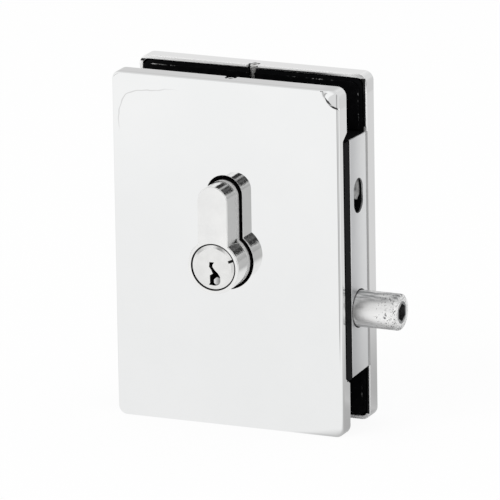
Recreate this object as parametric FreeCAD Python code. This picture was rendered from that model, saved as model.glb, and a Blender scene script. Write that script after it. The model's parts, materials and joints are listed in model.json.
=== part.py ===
# Centre patch lock for a glass door: two steel covers on cast clamp plates, a slim case that fills the
# cut-out in the glass, a round dead bolt, and a double profile cylinder whose cam throws the bolt.
# Millimetres. X is across the door, Y is through the glass (the front faces -Y), Z is up.
# The origin is the middle of the glass slot, at the middle of the covers.
import FreeCAD
import Part
import math
import os

from FreeCAD import Vector

# Covers
cover_width = 76.0
cover_height = 110.0
cover_depth = 6.4
sheet = 1.2
corner_radius = 4.0
edge_radius = 2.2

# Glass, gaskets and clamp plates
glass = 12.0
gasket_thickness = 1.3
gasket_inset = 2.2
gasket_corner_radius = 3.0
plate_chamfer = 1.0

# Clearances
loose_fit = 0.2
running_fit = 0.05
thread_fit = 0.03
face_gap = 0.1

# Notch in the side of each cover, where the case shows
front_notch_depth = 3.4
rear_notch_depth = 0.5
notch_end_slope = 3.0
notch_end_round = 1.0

# Lock case
case_depth = 12.8
case_half_front = 37.8
case_taper = 0.5
case_wall = 2.0
case_back_wall = 1.2
case_end_room = 2.0
forend_thickness = 6.0
forend_round = 0.4
post_radius = 4.6
case_post_radius = 3.0

# Bolt
bolt_diameter = 11.4
bolt_throw = 14.0
bolt_z = -17.0
bolt_tip_round = 1.0
bolt_heel = 9.0
bolt_bore_clearance = 0.08
grease_groove_width = 0.8
grease_groove_depth = 0.3
grease_groove_shows = 0.1
core_diameter = 7.0
core_length = 20.0
core_socket = 5.0
core_socket_depth = 4.0
rib_left = 12.8
rib_thickness = 4.0

# Cam slot in the bolt
cam_slot_half = 3.3
cam_slot_floor_gap = 0.3

# Profile cylinder
round_radius = 8.5
slim_width = 10.0
cylinder_height = 34.0
cylinder_x = -0.8
cylinder_z = -1.8
cylinder_projection = 9.3
cylinder_edge = 0.3
plug_radius = 6.5
flange_radius = 7.1
flange_thickness = 1.2
ring_gap = 0.3
plug_edge = 0.4
cover_hole_gap = 1.1
plate_hole_gap = 0.4

# Cam, clutch and clips between the plugs
cam_gap = 10.0
cam_width = 8.2
cam_ring_radius = 7.8
cam_bore_gap = 0.1
cam_reach = 15.0
cam_lever_width = 4.0
cam_tip_round = 0.8
cam_pitch_radius = 12.52
clutch_width = 3.0
clutch_radius = 4.5
clutch_lug_reach = 7.0
clutch_lug_width = 3.0
clutch_tongue = 1.2
clip_thickness = 0.7
clip_groove_depth = 0.6
clip_outer_radius = 7.6
clip_opening = 7.0

# Pin stacks of the cylinder
pin_count = 4
pin_pitch = 3.9
pin_radius = 1.35
first_pin_from_face = 3.9
key_pin_foot = 1.9
driver_length = 4.5
cap_length = 2.0
spring_wire = 0.32
spring_turns = 6
key_slot_outline = [
    (-1.2, 1.6),
    (0.35, 1.6),
    (-0.2, 0.8),
    (-0.3, 0.1),
    (0.4, -0.9),
    (1.5, -1.8),
    (2.2, -2.8),
    (2.3, -3.6),
    (0.9, -3.2),
    (-0.1, -4.0),
    (-0.1, -5.1),
    (0.5, -5.8),
    (0.5, -8.0),
    (-1.7, -8.0),
    (-1.7, -5.8),
    (-1.1, -5.0),
    (-1.1, -2.6),
    (-0.2, -1.9),
    (-0.55, -0.9),
    (-1.3, 0.1),
]
key_mark_width = 0.8
key_mark_angle = 18.0

# Screws
fixing_screw_diameter = 5.0
fixing_screw_rise = 20.0
fixing_screw_head = 6.8
fixing_screw_head_height = 2.4
fixing_screw_seat_x = 26.0
fixing_screw_seat = 4.0
fixing_screw_end_gap = 0.8
access_hole_height = 11.0
access_hole_width = 7.1
access_hole_offset = 0.6
clamp_screw_diameter = 5.0
clamp_screw_head = 9.4
clamp_screw_head_height = 2.6
clamp_screw_left = -14.0
clamp_screw_right = 27.0
clamp_screw_from_end = 6.8
clamp_screw_end_gap = 1.0
case_screw_diameter = 3.0
case_screw_head = 5.6
case_screw_head_height = 1.6
case_screw_x = 6.0
case_screw_from_end = 5.8
case_screw_depth = 6.0
grub_diameter = 3.0
grub_length = 8.0
grub_reach = 1.0
grub_from_rim = 1.9
grub_hole_diameter = 3.5
grub_slot_width = 2.4

# Detent under the bolt, and the guide pin in front of it
detent_x = 20.0
detent_ball_diameter = 3.0
detent_body_diameter = 6.0
detent_body_length = 9.0
detent_drop = 1.5
detent_dimple = 0.5
detent_boss_half = 4.8
detent_wire = 0.4
detent_turns = 4
guide_pin_diameter = 3.0
guide_pin_x = 19.5
guide_pin_seat = 3.0
guide_groove_depth = 1.5

# Worked-out places
half_width = cover_width / 2
half_height = cover_height / 2
rim_y = glass / 2 + gasket_thickness
face_y = rim_y + cover_depth
plate_face_y = face_y - sheet - face_gap
plate_half_width = half_width - sheet - loose_fit
plate_half_height = half_height - sheet - loose_fit
plate_corner = corner_radius - sheet - loose_fit
case_y = case_depth / 2
case_half_rear = case_half_front - case_taper
clamp_screw_z = case_half_front - clamp_screw_from_end
case_screw_z = case_half_front - case_screw_from_end
bolt_radius = bolt_diameter / 2
bolt_tip_x = half_width + bolt_throw
cam_half_swing = math.degrees(math.asin(bolt_throw / 2 / cam_pitch_radius))
cam_slot_x = cylinder_x + bolt_throw / 2
bolt_heel_x = cam_slot_x - cam_slot_half - bolt_heel
case_left = bolt_heel_x - bolt_throw - case_end_room - case_wall
forend_x = half_width - forend_thickness
slim_top_z = cylinder_z + cylinder_height - round_radius
slim_radius = slim_width / 2
fixing_screw_z = cylinder_z + fixing_screw_rise
cylinder_y = face_y + cylinder_projection
plug_inner_y = clutch_width / 2 + face_gap
clip_y = cam_gap / 2 - running_fit
grub_y = rim_y + grub_from_rim
grub_top_z = plate_half_height + grub_reach
pin_bore = pin_radius + running_fit

X = Vector(1, 0, 0)
Y = Vector(0, 1, 0)
Z = Vector(0, 0, 1)


def box(x0, x1, y0, y1, z0, z1):
    """A box between two corners."""
    return Part.makeBox(x1 - x0, y1 - y0, z1 - z0, Vector(x0, y0, z0))


def rod(radius, start, direction, length):
    """A round bar from a point along a direction."""
    return Part.makeCylinder(radius, length, Vector(*start), direction)


def prism(points, direction):
    """A prism over a closed outline of points."""
    return Part.Face(Part.makePolygon(points + [points[0]])).extrude(direction)


def fused(shapes):
    """One solid from several that touch or overlap."""
    result = shapes[0].multiFuse(shapes[1:]) if len(shapes) > 1 else shapes[0]
    return result.removeSplitter()


def to_rear(shape):
    """The mirror image of a front piece on the rear side of the glass."""
    return shape.mirror(Vector(0, 0, 0), Y)


def edges_at(shape, axis, place):
    """The edges of a shape that lie wholly in the plane where one coordinate has a value."""
    return [e for e in shape.Edges if all(abs(getattr(v, axis) - place) < 1e-6 for v in e.Vertexes)]


def rounded_block(half_x, half_z, y0, y1, radius):
    """A block with its four edges along Y rounded."""
    block = box(-half_x, half_x, y0, y1, -half_z, half_z)
    along_y = [e for e in block.Edges if abs(e.tangentAt(e.FirstParameter).y) > 0.99]
    return block.makeFillet(radius, along_y)


def profile(y0, y1, gap=0.0):
    """The cylinder's profile along Y, grown by a gap: a round part and a slim part above it."""
    length = y1 - y0
    reach = slim_radius + gap
    arc_z = slim_top_z - slim_radius
    barrel = rod(round_radius + gap, (cylinder_x, y0, cylinder_z), Y, length)
    web = box(cylinder_x - reach, cylinder_x + reach, y0, y1, cylinder_z, arc_z)
    head = rod(reach, (cylinder_x, y0, arc_z), Y, length)
    return fused([barrel, web, head])


def notch(depth, half_case):
    """The piece that is cut from a front cover's right rim, with sloped ends that run out in rounds."""
    half = half_case + loose_fit
    bottom = -rim_y - depth
    slope = min(notch_end_slope, depth * 3)
    x = half_width - 2 * sheet
    points = [
        Vector(x, -rim_y + 1, -half - slope),
        Vector(x, -rim_y, -half - slope),
        Vector(x, bottom, -half),
        Vector(x, bottom, half),
        Vector(x, -rim_y, half + slope),
        Vector(x, -rim_y + 1, half + slope),
    ]
    block = prism(points, X * 4 * sheet)
    ends = [
        e
        for e in block.Edges
        if all(abs(abs(v.Z) - half) < 1e-6 and abs(v.Y - bottom) < 1e-6 for v in e.Vertexes)
        and e.Length < 5 * sheet
    ]
    return block.makeFillet(min(notch_end_round, depth / 2), ends)


def cover(notch_depth, half_case):
    """A pressed steel cover, seen from the front side: face, rounded edge and rim in one sheet."""
    outer = rounded_block(half_width, half_height, -face_y, -rim_y, corner_radius)
    outer = outer.makeFillet(edge_radius, edges_at(outer, "Y", -face_y))
    inner_corner = corner_radius - sheet
    inner = rounded_block(
        half_width - sheet, half_height - sheet, -face_y + sheet, -rim_y + 1, inner_corner
    )
    inner = inner.makeFillet(edge_radius - sheet, edges_at(inner, "Y", -face_y + sheet))
    shell = outer.cut(inner)
    shell = shell.cut(profile(-face_y - 1, -face_y + 2 * sheet, cover_hole_gap))
    shell = shell.cut(notch(notch_depth, half_case))
    for end in (1, -1):
        start = (0, -grub_y, end * (half_height - 2 * sheet))
        shell = shell.cut(rod(grub_hole_diameter / 2, start, Z * end, 3 * sheet))
    return shell


def clamp_places():
    """The X and Z of the four clamp screws."""
    return [(x, side * clamp_screw_z) for x in (clamp_screw_left, clamp_screw_right) for side in (1, -1)]


def case_screw_places():
    """The X and Z of the two screws that hold the case to the front plate."""
    return [(case_screw_x, side * case_screw_z) for side in (1, -1)]


def grub_room():
    """Room for the two grub screws in a front plate, with a narrow slot towards the glass."""
    radius = grub_diameter / 2
    rooms = []
    for end in (1, -1):
        top = end * (plate_half_height + 1)
        depth = grub_length - grub_reach + 1
        low, high = sorted((top, top - end * depth))
        half_slot = grub_slot_width / 2
        rooms.append(rod(radius, (0, -grub_y, top), Z * -end, depth))
        rooms.append(box(-half_slot, half_slot, -grub_y, -rim_y + 1, low, high))
    return rooms


def clamp_plate(notch_depth, half_case):
    """A front casting: the plate under the cover, a raised pad on the case, and a lip in the notch."""
    plate = rounded_block(plate_half_width, plate_half_height, -plate_face_y, -rim_y, plate_corner)
    plate = plate.makeChamfer(plate_chamfer, edges_at(plate, "Y", -plate_face_y))
    inner_x = half_width - sheet - loose_fit
    pad = box(case_left, inner_x, -rim_y - 1, -case_y, -half_case, half_case)
    lip_y = -rim_y - notch_depth + face_gap
    lip = box(inner_x - 1, half_width, lip_y, -case_y, -half_case, half_case)
    plate = fused([plate, pad, lip])
    for room in grub_room():
        plate = plate.cut(room)
    return plate.cut(profile(-plate_face_y - 1, -case_y + 1, plate_hole_gap))


def front_clamp_plate():
    """The front casting, threaded for the clamp screws and drilled for the case screws."""
    plate = clamp_plate(front_notch_depth, case_half_front)
    depth = plate_face_y - case_y + 2
    for x, z in clamp_places():
        radius = clamp_screw_diameter / 2 + thread_fit
        plate = plate.cut(rod(radius, (x, -plate_face_y - 1, z), Y, depth))
    for x, z in case_screw_places():
        plate = plate.cut(screw_room(case_screw_diameter, case_screw_head, case_screw_head_height,
                                     depth, (x, -plate_face_y, z), Y))
    seat = (guide_pin_x, -rim_y - guide_pin_seat, bolt_z)
    return plate.cut(rod(guide_pin_diameter / 2, seat, Y, 2 * guide_pin_seat))


def rear_clamp_plate():
    """The rear casting, countersunk for the clamp screws."""
    plate = to_rear(clamp_plate(rear_notch_depth, case_half_rear))
    for x, z in clamp_places():
        depth = plate_face_y - case_y + 2
        plate = plate.cut(screw_room(clamp_screw_diameter, clamp_screw_head, clamp_screw_head_height,
                                     depth, (x, plate_face_y, z), -Y))
    return plate


def gasket():
    """A front gasket: a C-shaped sheet of rubber that leaves the case and the grub screws free."""
    half_x = half_width - gasket_inset
    half_z = half_height - gasket_inset
    block = rounded_block(half_x, half_z, -rim_y, -glass / 2, gasket_corner_radius)
    half_case = max(case_half_front, case_half_rear) + loose_fit
    room = box(case_left - loose_fit, half_width, -rim_y - 1, 0, -half_case, half_case)
    block = block.cut(room)
    for end in (1, -1):
        foot = plate_half_height - grub_length + grub_reach
        low, high = sorted((end * foot, end * half_height))
        half_slot = grub_slot_width / 2
        block = block.cut(box(-half_slot, half_slot, -rim_y - 1, 0, low, high))
    return block


def lock_case():
    """The case: a cast tray open to the front plate, with the forend as its thick right-hand end."""
    outline = [
        Vector(case_left, -case_y, -case_half_front),
        Vector(case_left, -case_y, case_half_front),
        Vector(case_left, case_y, case_half_rear),
        Vector(case_left, case_y, -case_half_rear),
    ]
    tray = prism(outline, X * (half_width - case_left))
    tray = tray.makeFillet(forend_round, edges_at(tray, "X", half_width))
    inner_half = case_half_rear - case_wall
    inner_back = case_y - case_back_wall
    hollow = box(case_left + case_wall, forend_x, -case_y - 1, inner_back, -inner_half, inner_half)
    tray = tray.cut(hollow)
    inside = [rod(post_radius, (x, -case_y, z), Y, case_depth) for x, z in clamp_places()]
    for x, z in case_screw_places():
        inside.append(rod(case_post_radius, (x, -case_y, z), Y, case_depth))
    low = -inner_half - 1
    rib_top = bolt_z + bolt_radius + rib_thickness
    inside.append(box(rib_left, rib_left + rib_thickness, -case_y, case_y, low, rib_top))
    boss_left = detent_x - detent_boss_half
    boss_right = detent_x + detent_boss_half
    boss_top = bolt_z - bolt_radius - detent_drop
    inside.append(box(boss_left, boss_right, -case_y, case_y, low, boss_top))
    seat_half = fixing_screw_head / 2 + case_wall
    seat_left = fixing_screw_seat_x - fixing_screw_seat
    seat_low = fixing_screw_z - seat_half
    seat_high = fixing_screw_z + seat_half
    inside.append(box(seat_left, fixing_screw_seat_x, -case_y, case_y, seat_low, seat_high))
    body = fused([tray] + inside)
    body = body.cut(profile(0, case_y + 1, plate_hole_gap))
    bore_left = case_left + case_wall
    bore_radius = bolt_radius + bolt_bore_clearance
    body = body.cut(rod(bore_radius, (bore_left, 0, bolt_z), X, half_width - bore_left + 1))
    for x, z in clamp_places():
        radius = clamp_screw_diameter / 2 + loose_fit
        body = body.cut(rod(radius, (x, -case_y - 1, z), Y, case_depth + 2))
    for x, z in case_screw_places():
        radius = case_screw_diameter / 2 + thread_fit
        body = body.cut(rod(radius, (x, -case_y - 1, z), Y, case_screw_depth + 2))
    body = body.cut(access_hole())
    body = body.cut(screw_room(fixing_screw_diameter, fixing_screw_head, fixing_screw_head_height,
                               fixing_screw_seat_x, (fixing_screw_seat_x, 0, fixing_screw_z), -X))
    top = bolt_z - bolt_radius
    depth = detent_drop + detent_body_length
    return body.cut(rod(detent_body_diameter / 2 + thread_fit, (detent_x, 0, top), -Z, depth))


def access_hole():
    """The oval hole in the forend that a screwdriver reaches the cylinder's screw through."""
    radius = access_hole_width / 2
    rise = (access_hole_height - access_hole_width) / 2
    middle = fixing_screw_z + access_hole_offset
    length = forend_thickness + 2
    start = forend_x - 1
    ends = [rod(radius, (start, 0, middle + side * rise), X, length) for side in (1, -1)]
    web = box(start, start + length, -radius, radius, middle - rise, middle + rise)
    return fused(ends + [web])


def dead_bolt():
    """The round bolt: bored for its core, slotted for the cam and the guide pin, and with a grease ring."""
    bar = rod(bolt_radius, (bolt_heel_x, 0, bolt_z), X, bolt_tip_x - bolt_heel_x)
    bar = bar.makeFillet(bolt_tip_round, edges_at(bar, "X", bolt_tip_x))
    bar = bar.cut(rod(core_diameter / 2, (bolt_tip_x + 1, 0, bolt_z), -X, core_length + 1))
    floor_z = cylinder_z - cam_reach - cam_slot_floor_gap
    top_z = bolt_z + bolt_diameter
    slot_left = cam_slot_x - cam_slot_half
    slot_right = cam_slot_x + cam_slot_half
    bar = bar.cut(box(slot_left, slot_right, -bolt_diameter, bolt_diameter, floor_z, top_z))
    pin_room = guide_pin_diameter / 2 + loose_fit
    groove_left = guide_pin_x - pin_room
    groove_right = guide_pin_x + bolt_throw + pin_room
    groove_y = -bolt_radius + guide_groove_depth
    groove = box(groove_left, groove_right, -bolt_diameter, groove_y, bolt_z - pin_room, bolt_z + pin_room)
    bar = bar.cut(groove)
    ring_start = (half_width + grease_groove_shows, 0, bolt_z)
    ring = rod(bolt_diameter, ring_start, -X, grease_groove_width)
    bar = bar.cut(ring.cut(rod(bolt_radius - grease_groove_depth, ring_start, -X, grease_groove_width)))
    ball_radius = detent_ball_diameter / 2
    for x in (detent_x, detent_x + bolt_throw):
        middle = Vector(x, 0, bolt_z - bolt_radius - ball_radius + detent_dimple)
        bar = bar.cut(Part.makeSphere(ball_radius, middle))
    return bar


def bolt_core():
    """The hardened core that is screwed into the bolt's end, with a hexagon socket."""
    core = rod(core_diameter / 2 - thread_fit, (bolt_tip_x, 0, bolt_z), -X, core_length)
    return core.cut(hex_socket(core_socket, (bolt_tip_x, 0, bolt_z), -X, core_socket_depth))


def guide_pin():
    """The pin in the front plate that keeps the bolt from turning."""
    start_y = -rim_y - guide_pin_seat
    end_y = -bolt_radius + guide_groove_depth - loose_fit
    radius = guide_pin_diameter / 2 - thread_fit
    return rod(radius, (guide_pin_x, start_y, bolt_z), Y, end_y - start_y)


def spring(mean_radius, wire, turns, start, length):
    """An upright round-wire coil spring from a start point."""
    helix = Part.makeHelix(length / turns, length, mean_radius)
    ring = Part.Wire(Part.makeCircle(wire / 2, Vector(mean_radius, 0, 0), Y))
    coil = Part.Wire(helix.Edges).makePipeShell([ring], True, True)
    coil.translate(Vector(*start))
    return coil


def detent_pieces():
    """What holds the bolt at either end of its throw: a pressed-in body, a ball and a spring."""
    bottom = bolt_z - bolt_radius
    ball_radius = detent_ball_diameter / 2
    ball_z = bottom - ball_radius - running_fit
    body_top = bottom - detent_drop
    body = rod(detent_body_diameter / 2, (detent_x, 0, body_top), -Z, detent_body_length)
    socket_radius = ball_radius + running_fit
    socket_floor = body_top - detent_body_length + detent_drop
    body = body.cut(rod(socket_radius, (detent_x, 0, socket_floor), Z, detent_body_length))
    ball = Part.makeSphere(ball_radius, Vector(detent_x, 0, ball_z))
    low = socket_floor + detent_wire / 2 + face_gap
    high = ball_z - ball_radius - detent_wire / 2 - face_gap
    mean_radius = socket_radius - detent_wire / 2 - face_gap
    coil = spring(mean_radius, detent_wire, detent_turns, (detent_x, 0, low), high - low)
    return body, ball, coil


def pin_places(end):
    """The Y of each pin stack on the front (end -1) or rear (end 1) half."""
    first = cylinder_y - first_pin_from_face
    return [end * (first - i * pin_pitch) for i in range(pin_count)]


def cylinder_body():
    """The profile cylinder's housing, with both plug bores, the cam's gap and the pin holes."""
    body = profile(-cylinder_y, cylinder_y)
    ends = edges_at(body, "Y", cylinder_y) + edges_at(body, "Y", -cylinder_y)
    body = body.makeFillet(cylinder_edge, ends)
    bore = rod(plug_radius + running_fit, (cylinder_x, -cylinder_y, cylinder_z), Y, 2 * cylinder_y)
    body = body.cut(bore)
    for end in (1, -1):
        start = (cylinder_x, end * (cylinder_y + 1), cylinder_z)
        depth = flange_thickness + face_gap + 1
        body = body.cut(rod(flange_radius + ring_gap, start, Y * -end, depth))
        for y in pin_places(end):
            body = body.cut(rod(pin_bore, (cylinder_x, y, cylinder_z), Z, cylinder_height))
    gap_radius = cam_reach + 2 * loose_fit
    body = body.cut(rod(gap_radius, (cylinder_x, -cam_gap / 2, cylinder_z), Y, cam_gap))
    start = (cylinder_x - slim_width, 0, fixing_screw_z)
    return body.cut(rod(fixing_screw_diameter / 2 + thread_fit, start, X, 2 * slim_width))


def keyway(y0, y1):
    """A warded key slot, open at the bottom of the plug."""
    points = [Vector(cylinder_x + x, y0, cylinder_z + z) for x, z in key_slot_outline]
    return prism(points, Y * (y1 - y0))


def plug(end):
    """A key plug with its flange, key slot, pin holes, clip groove and the mark at its edge."""
    barrel = rod(plug_radius, (cylinder_x, end * plug_inner_y, cylinder_z), Y * end, cylinder_y - plug_inner_y)
    flange_start = (cylinder_x, end * (cylinder_y - flange_thickness), cylinder_z)
    flange = rod(flange_radius, flange_start, Y * end, flange_thickness)
    body = fused([barrel, flange])
    body = body.makeChamfer(plug_edge, edges_at(body, "Y", end * cylinder_y))
    low, high = sorted((end * (clip_y + clip_thickness), end * (cylinder_y + 1)))
    body = body.cut(keyway(low, high))
    for y in pin_places(end):
        body = body.cut(rod(pin_bore, (cylinder_x, y, cylinder_z), Z, 2 * plug_radius))
    groove_start = (cylinder_x, end * (clip_y + running_fit), cylinder_z)
    groove_length = clip_thickness + 2 * running_fit
    groove = rod(plug_radius + 1, groove_start, Y * -end, groove_length)
    body = body.cut(groove.cut(rod(plug_radius - clip_groove_depth, groove_start, Y * -end, groove_length)))
    low, high = sorted((end * (cylinder_y - plug_edge), end * (cylinder_y + 1)))
    half_mark = key_mark_width / 2
    mark = box(plug_radius - half_mark, flange_radius + 1, low, high, -half_mark, half_mark)
    mark.rotate(Vector(0, 0, 0), Y, -key_mark_angle)
    mark.translate(Vector(cylinder_x, 0, cylinder_z))
    return body.cut(mark)


def clip(end):
    """The open ring that holds a plug in the housing, in the plug's groove beside the cam."""
    start = (cylinder_x, end * clip_y, cylinder_z)
    ring = rod(clip_outer_radius, start, Y * -end, clip_thickness)
    bore = rod(plug_radius - clip_groove_depth + running_fit, start, Y * -end, clip_thickness)
    low, high = sorted((end * clip_y, end * (clip_y - clip_thickness)))
    opening = box(
        cylinder_x - clip_opening / 2,
        cylinder_x + clip_opening / 2,
        low,
        high,
        cylinder_z,
        cylinder_z + 2 * clip_outer_radius,
    )
    return ring.cut(bore).cut(opening)


def key_pins(end):
    """The key pins of a half, drawn at the shear line as with the key in."""
    foot = cylinder_z + key_pin_foot
    top = cylinder_z + plug_radius - loose_fit
    return [rod(pin_radius, (cylinder_x, y, foot), Z, top - foot) for y in pin_places(end)]


def driver_pins(end):
    """The driver pins of a half, on the shear line."""
    foot = cylinder_z + plug_radius + 2 * running_fit
    return [rod(pin_radius, (cylinder_x, y, foot), Z, driver_length) for y in pin_places(end)]


def pin_caps(end):
    """The caps pressed into the pin holes above the springs, dressed flush with the round top."""
    foot = slim_top_z - cap_length
    outline = profile(-cylinder_y, cylinder_y)
    blanks = [rod(pin_radius, (cylinder_x, y, foot), Z, 2 * cap_length) for y in pin_places(end)]
    return [blank.common(outline) for blank in blanks]


def pin_springs(end):
    """The pin springs of a half."""
    clear = spring_wire / 2 + face_gap
    low = cylinder_z + plug_radius + 2 * running_fit + driver_length + clear
    high = slim_top_z - cap_length - clear
    mean_radius = pin_radius - spring_wire / 2 - face_gap
    return [
        spring(mean_radius, spring_wire, spring_turns, (cylinder_x, y, low), high - low)
        for y in pin_places(end)
    ]


def turned_to_rest(shape):
    """A piece of the cam's body, drawn with its lever down and turned to where the bolt is thrown."""
    shape.rotate(Vector(cylinder_x, 0, cylinder_z), Y, -cam_half_swing)
    return shape


def cam():
    """The cam: a ring around the ends of both plugs, with the lever that drives the bolt."""
    start = (cylinder_x, -cam_width / 2, cylinder_z)
    ring = rod(cam_ring_radius, start, Y, cam_width)
    half = cam_lever_width / 2
    foot = cylinder_z - cam_reach
    lever = box(cylinder_x - half, cylinder_x + half, -cam_width / 2, cam_width / 2, foot, cylinder_z)
    tips = [e for e in edges_at(lever, "Z", foot) if e.Length > cam_width / 2]
    tips = [e for e in tips if abs(e.Vertexes[0].X - e.Vertexes[1].X) < 1e-6]
    lever = lever.makeFillet(cam_tip_round, tips)
    body = fused([ring, lever])
    body = body.cut(rod(plug_radius + cam_bore_gap, start, Y, cam_width))
    lug_room = clutch_lug_width / 2 + face_gap
    reach = clutch_lug_reach + face_gap
    slot_half = clutch_width / 2 + face_gap
    slot = box(cylinder_x - reach, cylinder_x + reach, -slot_half, slot_half, -lug_room, lug_room)
    slot.translate(Vector(0, 0, cylinder_z))
    return turned_to_rest(body.cut(slot))


def clutch():
    """The clutch between the plugs: a disc with two lugs in the cam and a tongue in the front plug."""
    half = clutch_width / 2
    disc = rod(clutch_radius, (cylinder_x, -half, cylinder_z), Y, clutch_width)
    lug = clutch_lug_width / 2
    reach = clutch_lug_reach
    lugs = box(cylinder_x - reach, cylinder_x + reach, -half, half, cylinder_z - lug, cylinder_z + lug)
    tongue = box(
        cylinder_x - clutch_radius,
        cylinder_x + clutch_radius,
        -half - clutch_tongue,
        -half,
        cylinder_z - lug,
        cylinder_z + lug,
    )
    return turned_to_rest(fused([disc, lugs, tongue]))


def clutch_room():
    """The slot in the front plug's end that the clutch's tongue lies in."""
    half = clutch_width / 2
    lug = clutch_lug_width / 2 + face_gap
    room = box(
        cylinder_x - plug_radius - 1,
        cylinder_x + plug_radius + 1,
        -half - clutch_tongue - face_gap,
        -half,
        cylinder_z - lug,
        cylinder_z + lug,
    )
    return turned_to_rest(room)


def hex_socket(size, start, direction, depth):
    """A hexagon socket of a given size across its flats, sunk along direction."""
    reach = size / 2 / math.cos(math.radians(30))
    corners = []
    for i in range(6):
        angle = math.radians(60 * i)
        corners.append(Vector(reach * math.cos(angle), reach * math.sin(angle), -1))
    block = prism(corners, Z * (depth + 1))
    block.Placement = FreeCAD.Placement(Vector(*start), FreeCAD.Rotation(Z, direction))
    return block


def countersunk(radius, head_radius, head_height, length, start, direction):
    """A countersunk screw's outline: a cone with its wide end at start, and a shank."""
    cone = Part.makeCone(head_radius, radius, head_height, Vector(*start), direction)
    return fused([cone, rod(radius, start, direction, length)])


def screw_room(diameter, head, head_height, length, start, direction):
    """Room for a countersunk screw with a loose shank."""
    return countersunk(
        diameter / 2 + loose_fit, head / 2 + face_gap, head_height, length, start, direction
    )


def socket_screw(diameter, head, head_height, length, start, direction, hex_size):
    """A countersunk socket screw, its flat head just below start and its shank along direction."""
    screw = countersunk(diameter / 2, head / 2, head_height, length, start, direction)
    return screw.cut(hex_socket(hex_size, start, direction, head_height * 0.8))


def clamp_screws():
    """The four screws from the rear plate through the case's posts into the front plate."""
    length = 2 * plate_face_y - clamp_screw_end_gap
    return [
        socket_screw(clamp_screw_diameter, clamp_screw_head, clamp_screw_head_height, length,
                     (x, plate_face_y, z), -Y, 3.0)
        for x, z in clamp_places()
    ]


def case_screws():
    """The two small screws from the front plate into the case."""
    length = plate_face_y - case_y + case_screw_depth
    return [
        socket_screw(case_screw_diameter, case_screw_head, case_screw_head_height, length,
                     (x, -plate_face_y, z), Y, 2.0)
        for x, z in case_screw_places()
    ]


def fixing_screw():
    """The long screw that holds the cylinder, its head sunk behind the forend's oval hole."""
    length = fixing_screw_seat_x - cylinder_x + slim_radius - fixing_screw_end_gap
    return socket_screw(fixing_screw_diameter, fixing_screw_head, fixing_screw_head_height, length,
                        (fixing_screw_seat_x, 0, fixing_screw_z), -X, 3.0)


def grub_screws(end):
    """The two grub screws that lock a cover, at the top and bottom of its plate."""
    screws = []
    for side in (1, -1):
        start = (0, end * grub_y, side * grub_top_z)
        screw = rod(grub_diameter / 2 - thread_fit, start, Z * -side, grub_length)
        screws.append(screw.cut(hex_socket(1.5, start, Z * -side, 1.6)))
    return screws


def main():
    detent_body, detent_ball, detent_spring = detent_pieces()
    nodes = {
        "front_cover": [cover(front_notch_depth, case_half_front)],
        "rear_cover": [to_rear(cover(rear_notch_depth, case_half_rear))],
        "front_clamp_plate": [front_clamp_plate()],
        "rear_clamp_plate": [rear_clamp_plate()],
        "front_gasket": [gasket()],
        "rear_gasket": [to_rear(gasket())],
        "lock_case": [lock_case()],
        "dead_bolt": [dead_bolt()],
        "bolt_core": [bolt_core()],
        "bolt_guide_pin": [guide_pin()],
        "detent_body": [detent_body],
        "detent_ball": [detent_ball],
        "detent_spring": [detent_spring],
        "cylinder_body": [cylinder_body()],
        "front_plug": [plug(-1).cut(clutch_room())],
        "rear_plug": [plug(1)],
        "front_plug_clip": [clip(-1)],
        "rear_plug_clip": [clip(1)],
        "front_key_pins": key_pins(-1),
        "rear_key_pins": key_pins(1),
        "front_driver_pins": driver_pins(-1),
        "rear_driver_pins": driver_pins(1),
        "front_pin_springs": pin_springs(-1),
        "rear_pin_springs": pin_springs(1),
        "front_pin_caps": pin_caps(-1),
        "rear_pin_caps": pin_caps(1),
        "cam": [cam()],
        "clutch": [clutch()],
        "cylinder_screw": [fixing_screw()],
        "clamp_screws": clamp_screws(),
        "case_screws": case_screws(),
        "front_grub_screws": grub_screws(-1),
        "rear_grub_screws": grub_screws(1),
    }
    os.makedirs("parts", exist_ok=True)
    for name, pieces in nodes.items():
        shape = pieces[0] if len(pieces) == 1 else Part.makeCompound(pieces)
        sound = shape.isValid() and len(shape.Solids) == len(pieces)
        bounds = shape.BoundBox
        size = [round(v, 2) for v in (bounds.XLength, bounds.YLength, bounds.ZLength)]
        print(name, len(shape.Solids), "ok" if sound else "BAD", size, round(shape.Volume, 1))
        shape.exportStep(os.path.join("parts", name + ".step"))
    print("cam half swing", round(cam_half_swing, 3), "case left", round(case_left, 2))


main()
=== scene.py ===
import json
import math

import bmesh
import bpy
from mathutils import Matrix, Vector


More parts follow.
